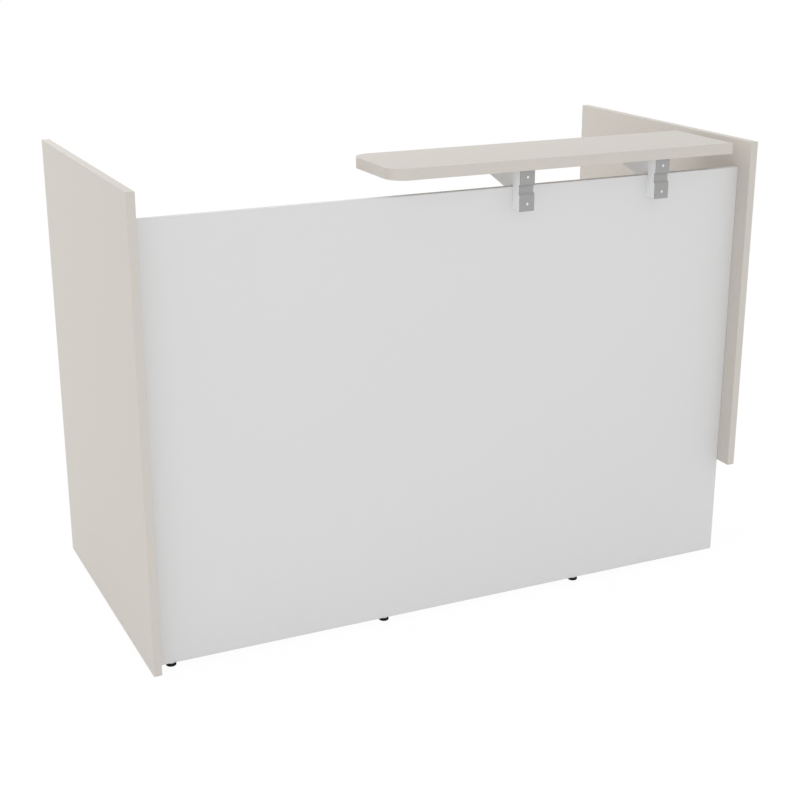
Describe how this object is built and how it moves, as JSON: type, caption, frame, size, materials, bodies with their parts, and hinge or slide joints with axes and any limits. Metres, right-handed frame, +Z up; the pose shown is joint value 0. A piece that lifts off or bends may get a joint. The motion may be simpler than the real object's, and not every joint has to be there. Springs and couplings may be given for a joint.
{
  "type": "reception desk",
  "caption": "Panel-built reception desk with tall sides, a white front, a worktop behind it and a raised counter shelf on steel consoles.",
  "frame": {"origin": "on the floor, at the middle of the desk's width and depth", "axes": "+X along the desk's width, to the right as the visitor sees it; +Y from the visitor to the person behind the desk; +Z up"},
  "size_m": [1.64, 0.808, 1.15],
  "materials": {
    "greige_board": "matt melamine-faced chipboard in warm greige with matching edge band",
    "white_board": "matt melamine-faced chipboard in white with matching edge band",
    "white_steel": "white powder coat on folded steel sheet",
    "silver_steel": "satin zinc-plated steel sheet",
    "zinc": "bright zinc-plated steel",
    "black_plastic": "black moulded plastic, fine matt texture"
  },
  "bodies": {
    "desk": {"cam_bolt_front_left_lower": "zinc", "cam_bolt_front_left_upper": "zinc", "cam_bolt_front_right_lower": "zinc", "cam_bolt_front_right_upper": "zinc", "cam_bolt_support_front": "zinc", "cam_bolt_support_top_front": "zinc", "cam_bolt_support_top_rear": "zinc", "cam_bolt_worktop_front_left": "zinc", "cam_bolt_worktop_front_right": "zinc", "cam_bolt_worktop_left_front": "zinc", "cam_bolt_worktop_left_rear": "zinc", "cam_bolt_worktop_right_front": "zinc", "cam_bolt_worktop_right_rear": "zinc", "cam_front_left_lower": "zinc", "cam_front_left_upper": "zinc", "cam_front_right_lower": "zinc", "cam_front_right_upper": "zinc", "cam_support_front": "zinc", "cam_support_top_front": "zinc", "cam_support_top_rear": "zinc", "cam_worktop_front_left": "zinc", "cam_worktop_front_right": "zinc", "cam_worktop_left_front": "zinc", "cam_worktop_left_rear": "zinc", "cam_worktop_right_front": "zinc", "cam_worktop_right_rear": "zinc", "console_left": "white_steel", "console_right": "white_steel", "counter_shelf": "greige_board", "foot_carrier_left_front": "black_plastic", "foot_carrier_left_rear": "black_plastic", "foot_insert_front_1": "zinc", "foot_insert_front_2": "zinc", "foot_insert_front_3": "zinc", "foot_insert_support_front": "zinc", "foot_insert_support_rear": "zinc", "front_panel": "white_board", "left_side_panel": "greige_board", "right_side_panel": "greige_board", "shelf_screw_left_front": "zinc", "shelf_screw_left_rear": "zinc", "shelf_screw_right_front": "zinc", "shelf_screw_right_rear": "zinc", "strap_plate_left": "silver_steel", "strap_plate_right": "silver_steel", "strap_screw_left_lower": "zinc", "strap_screw_left_upper": "zinc", "strap_screw_right_lower": "zinc", "strap_screw_right_upper": "zinc", "support_panel": "greige_board", "worktop": "greige_board"},
    "foot_front_1": {"foot_front_1": "black_plastic"},
    "foot_front_2": {"foot_front_2": "black_plastic"},
    "foot_front_3": {"foot_front_3": "black_plastic"},
    "foot_left_front": {"foot_left_front": "black_plastic"},
    "foot_left_rear": {"foot_left_rear": "black_plastic"},
    "foot_support_front": {"foot_support_front": "black_plastic"},
    "foot_support_rear": {"foot_support_rear": "black_plastic"}
  },
  "joints": [
    {"name": "level_front_1", "type": "slide", "parent": "desk", "child": "foot_front_1", "axis": [0, 0, -1], "range_m": [0, 0.01]},
    {"name": "level_front_2", "type": "slide", "parent": "desk", "child": "foot_front_2", "axis": [0, 0, -1], "range_m": [0, 0.01]},
    {"name": "level_front_3", "type": "slide", "parent": "desk", "child": "foot_front_3", "axis": [0, 0, -1], "range_m": [0, 0.01]},
    {"name": "level_left_front", "type": "slide", "parent": "desk", "child": "foot_left_front", "axis": [0, 0, -1], "range_m": [0, 0.01]},
    {"name": "level_left_rear", "type": "slide", "parent": "desk", "child": "foot_left_rear", "axis": [0, 0, -1], "range_m": [0, 0.01]},
    {"name": "level_support_front", "type": "slide", "parent": "desk", "child": "foot_support_front", "axis": [0, 0, -1], "range_m": [0, 0.01]},
    {"name": "level_support_rear", "type": "slide", "parent": "desk", "child": "foot_support_rear", "axis": [0, 0, -1], "range_m": [0, 0.01]}
  ]
}
